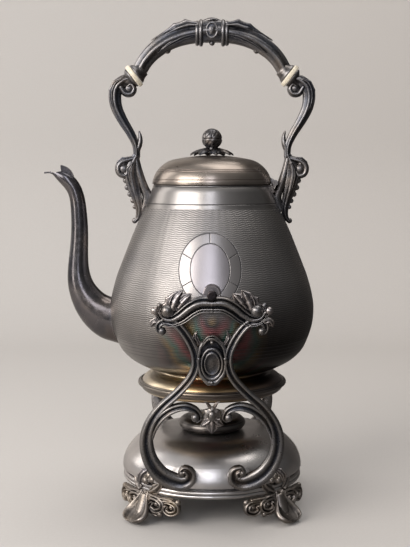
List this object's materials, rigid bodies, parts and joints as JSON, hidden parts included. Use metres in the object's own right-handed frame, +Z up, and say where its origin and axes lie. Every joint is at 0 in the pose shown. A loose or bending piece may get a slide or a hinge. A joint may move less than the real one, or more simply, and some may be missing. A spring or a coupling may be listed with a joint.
{
  "type": "spirit kettle on stand",
  "caption": "Footed kettle with a fixed arched handle and a hinged lid, hung on trunnions between lyre frames so that it tilts to pour, over a spirit lamp on a domed base.",
  "frame": {"origin": "centre of the base, on the surface that the feet stand on", "axes": "+Z up, +X away from the spout, +Y to the rear lyre frame along the tilt axis"},
  "size_m": [0.2326, 0.1984, 0.4165],
  "materials": {
    "silver_plate": "polished, softly worn",
    "tarnished_plate": "blue-black tarnish with rubbed high spots",
    "heat_tinted_plate": "golden heat tint",
    "bone": "smooth, off-white",
    "brass": "dull",
    "steel": "turned",
    "cotton": "woven"
  },
  "bodies": {
    "stand": {"base_dome": "silver_plate", "base_rim": "silver_plate", "foot_front_left": "tarnished_plate", "foot_front_right": "tarnished_plate", "foot_rear_left": "tarnished_plate", "foot_rear_right": "tarnished_plate", "frame_front": "tarnished_plate", "frame_rear": "tarnished_plate", "frame_studs": "brass", "frame_nuts": "brass"},
    "kettle": {"kettle_body": "silver_plate", "kettle_foot": "heat_tinted_plate", "spout": "tarnished_plate", "trunnion_front": "tarnished_plate", "trunnion_rear": "tarnished_plate", "trunnion_heads": "tarnished_plate", "handle_arm_left": "tarnished_plate", "handle_arm_right": "tarnished_plate", "insulator_left": "bone", "insulator_right": "bone", "insulator_pins": "steel", "grip_front": "tarnished_plate", "grip_rear": "tarnished_plate", "lid_hinge_plate": "silver_plate", "lid_hinge_pin": "steel"},
    "lid": {"lid_dome": "silver_plate", "lid_bezel": "silver_plate", "lid_hinge_leaf": "silver_plate", "finial_rosette": "tarnished_plate", "finial_bud": "silver_plate", "finial_nut": "brass"},
    "lamp": {"lamp_reservoir": "silver_plate", "burner_collar": "brass", "wick_tube": "brass", "wick": "cotton"}
  },
  "joints": [
    {"name": "kettle_tilt", "type": "hinge", "parent": "stand", "child": "kettle", "pos_m": [0, 0, 0.19], "axis": [0, -1, 0], "range_deg": [0, 55]},
    {"name": "lid_hinge", "type": "hinge", "parent": "kettle", "child": "lid", "pos_m": [0.0537, 0, 0.2755], "axis": [0, 1, 0], "range_deg": [0, 50]},
    {"name": "lamp_slide", "type": "slide", "parent": "stand", "child": "lamp", "axis": [1, 0, 0], "range_m": [0, 0.12]}
  ]
}
